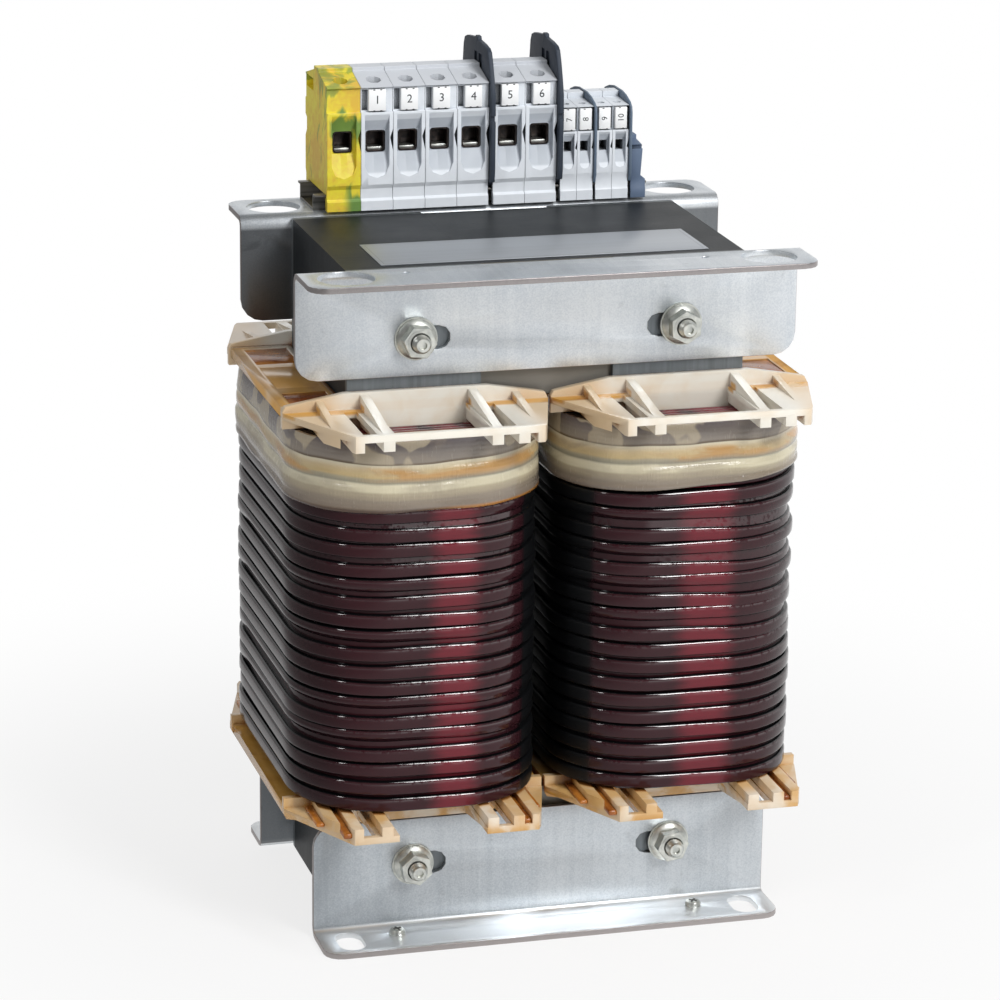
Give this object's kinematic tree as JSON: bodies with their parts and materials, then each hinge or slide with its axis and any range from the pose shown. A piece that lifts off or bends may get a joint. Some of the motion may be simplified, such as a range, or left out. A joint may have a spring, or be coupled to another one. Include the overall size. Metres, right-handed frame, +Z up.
{
  "type": "two-leg power transformer with rail terminals",
  "caption": "Open two-leg isolating transformer: ribbed flat-wire windings on moulded formers, folded galvanised brackets with slotted feet, and a row of rail terminals on top.",
  "frame": {"origin": "middle of the object in plan, on the floor that the feet stand on", "axes": "+Z up from the floor, +X along the core from the left coil to the right one, minus Y is the front with the clamping nuts"},
  "size_m": [0.2384, 0.204, 0.3815],
  "materials": {
    "core_steel": "satin varnish",
    "leg_plate_grey": "satin",
    "galvanised": "mottled zinc",
    "zinc_fastener": "bright zinc",
    "former_cream": "satin",
    "inner_copper": "varnished",
    "insulation": "varnished",
    "outer_copper": "varnished",
    "tape": "woven",
    "label": "matte",
    "rail_steel": "bright zinc",
    "earth_plastic": "satin",
    "terminal_grey": "satin",
    "partition_dark": "satin",
    "stop_blue": "satin",
    "tag_white": "satin"
  },
  "bodies": {
    "root": {"core_left_leg": "core_steel", "core_right_leg": "core_steel", "core_top_yoke": "core_steel", "core_bottom_yoke": "core_steel", "leg_plate_front_left": "leg_plate_grey", "leg_plate_front_right": "leg_plate_grey", "leg_plate_rear_left": "leg_plate_grey", "leg_plate_rear_right": "leg_plate_grey", "foot_bracket_front": "galvanised", "foot_bracket_rear": "galvanised", "top_bracket_front": "galvanised", "top_bracket_rear": "galvanised", "clamp_bolts": "zinc_fastener", "clamp_nuts": "zinc_fastener", "clamp_washers": "zinc_fastener", "foot_screws": "zinc_fastener", "rail_screws": "zinc_fastener", "former_front_left": "former_cream", "former_rear_left": "former_cream", "former_outer_side_left": "former_cream", "former_inner_side_left": "former_cream", "inner_winding_left": "inner_copper", "insulation_left": "insulation", "outer_winding_left": "outer_copper", "tape_wrap_left": "tape", "former_front_right": "former_cream", "former_rear_right": "former_cream", "former_outer_side_right": "former_cream", "former_inner_side_right": "former_cream", "inner_winding_right": "inner_copper", "insulation_right": "insulation", "outer_winding_right": "outer_copper", "tape_wrap_right": "tape", "rating_label": "label", "terminal_rail": "rail_steel", "earth_terminal": "earth_plastic", "feed_terminal_1": "terminal_grey", "feed_terminal_2": "terminal_grey", "feed_terminal_3": "terminal_grey", "feed_terminal_4": "terminal_grey", "feed_terminal_5": "terminal_grey", "feed_terminal_6": "terminal_grey", "small_terminal_1": "terminal_grey", "small_terminal_2": "terminal_grey", "small_terminal_3": "terminal_grey", "small_terminal_4": "terminal_grey", "partition_plate_1": "partition_dark", "partition_plate_2": "partition_dark", "thin_plate_1": "partition_dark", "thin_plate_2": "partition_dark", "end_stop": "stop_blue", "end_stop_screw": "zinc_fastener", "terminal_cages": "zinc_fastener", "terminal_screws": "zinc_fastener", "marker_tags": "tag_white"}
  },
  "joints": []
}
